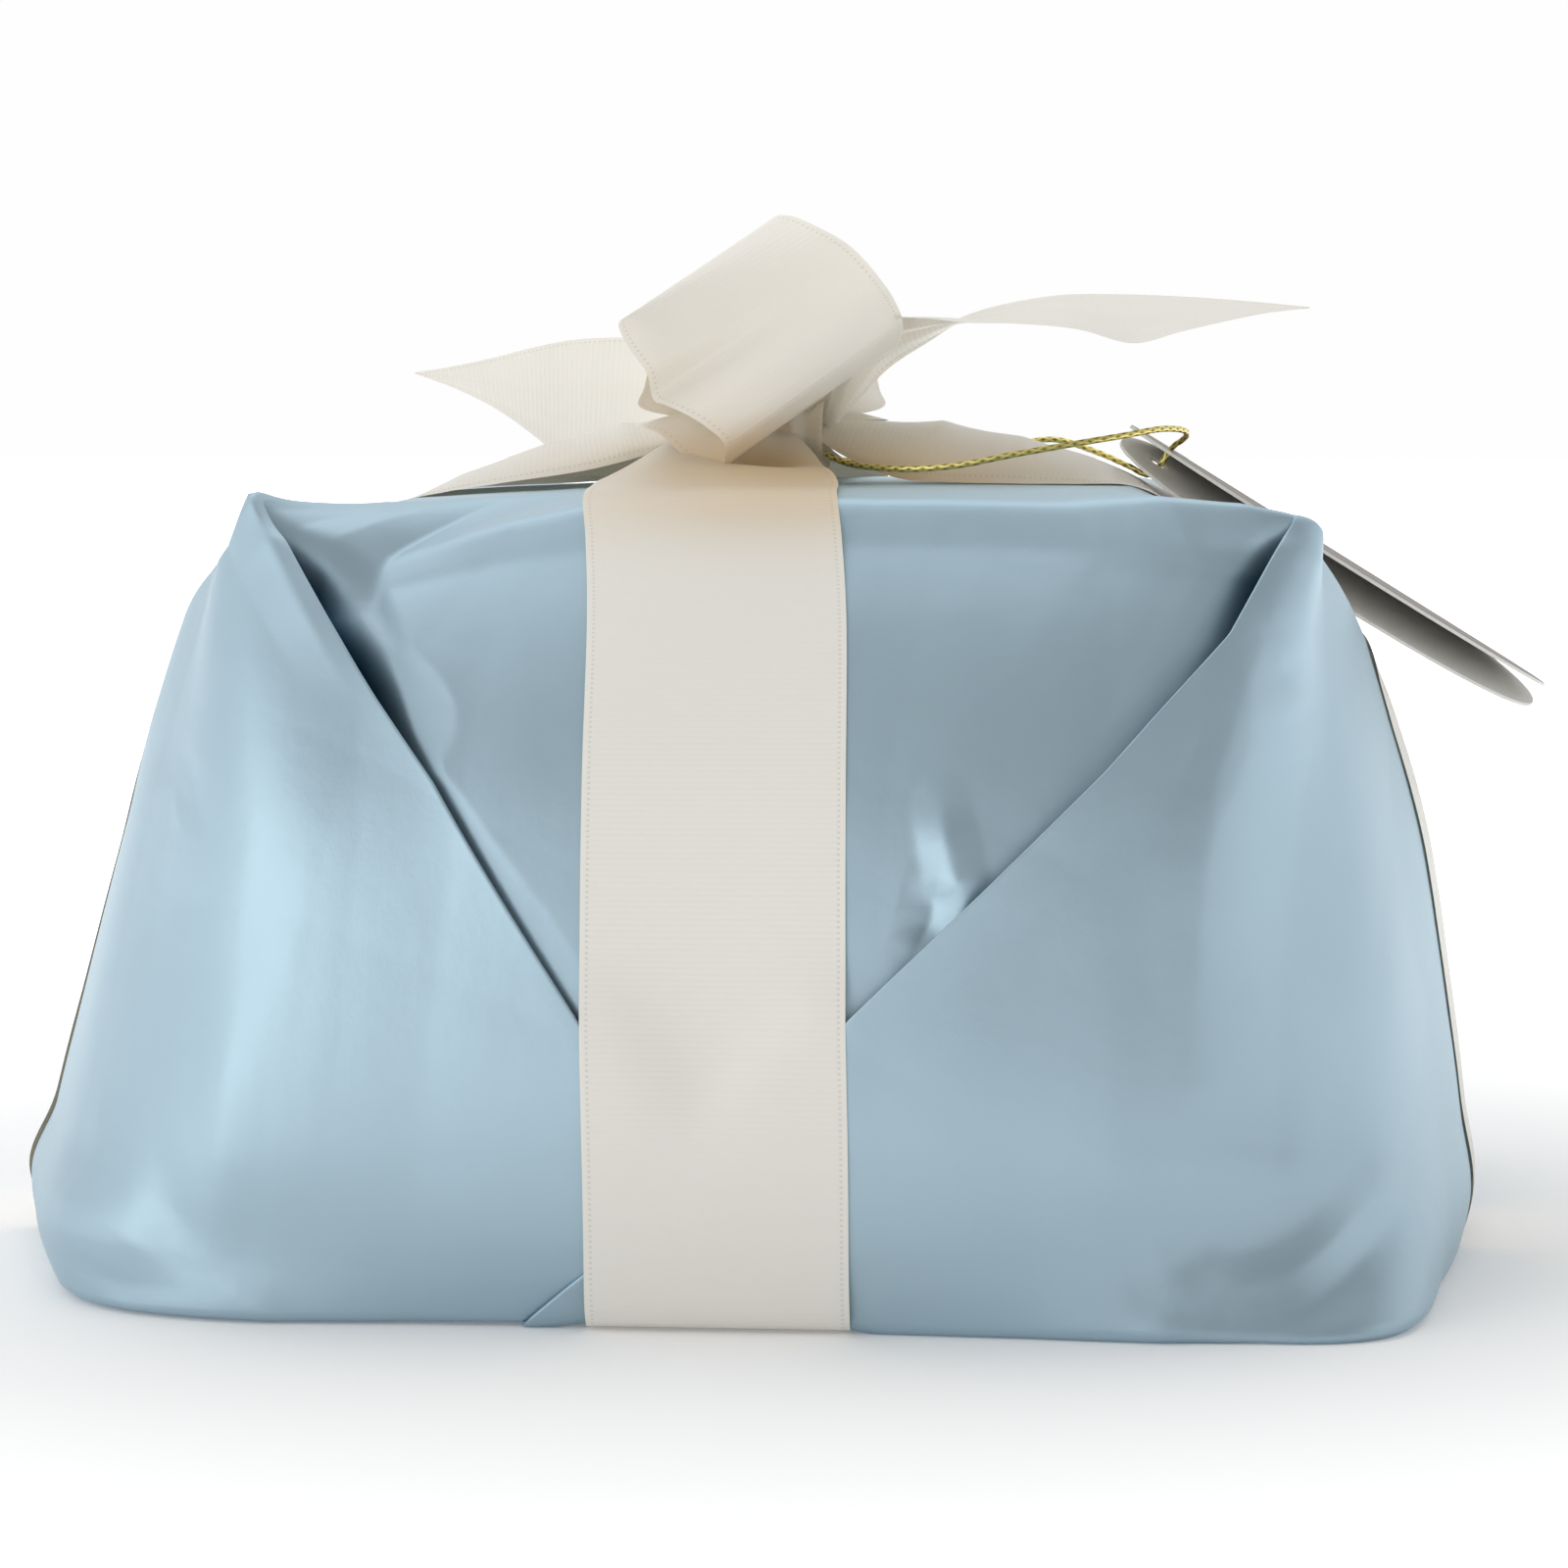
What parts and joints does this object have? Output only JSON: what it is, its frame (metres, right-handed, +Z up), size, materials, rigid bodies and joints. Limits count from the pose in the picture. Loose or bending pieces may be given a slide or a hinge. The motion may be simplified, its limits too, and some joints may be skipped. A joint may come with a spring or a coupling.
{
  "type": "gift-wrapped panettone",
  "caption": "Low panettone in its baking case, wrapped in folded pearl paper, tied with a wide satin ribbon bow and a gift tag on a cord.",
  "frame": {"origin": "under the middle of the parcel, on the surface it stands on", "axes": "+Z up, -Y towards the front where the paper's side flaps cross in a V, +X towards the side the tag hangs on"},
  "size_m": [0.2444, 0.2058, 0.166],
  "materials": {
    "crumb": "matte baked crust",
    "mould_paper": "matte brown baking paper",
    "pearl_paper": "pale blue, satin metallic pearl",
    "satin_ribbon": "ivory satin",
    "tag_card": "smooth coated card",
    "gold_braid": "fine metallic braid"
  },
  "bodies": {
    "root": {"panettone_loaf": "crumb", "baking_case": "mould_paper", "wrapping_paper": "pearl_paper", "ribbon_front_back_band": "satin_ribbon", "ribbon_side_to_side_band": "satin_ribbon", "bow_knot": "satin_ribbon", "bow_front_loop": "satin_ribbon", "bow_back_loop": "satin_ribbon", "bow_left_tail": "satin_ribbon", "bow_right_tail": "satin_ribbon", "gift_tag": "tag_card", "tag_cord": "gold_braid"}
  },
  "joints": []
}
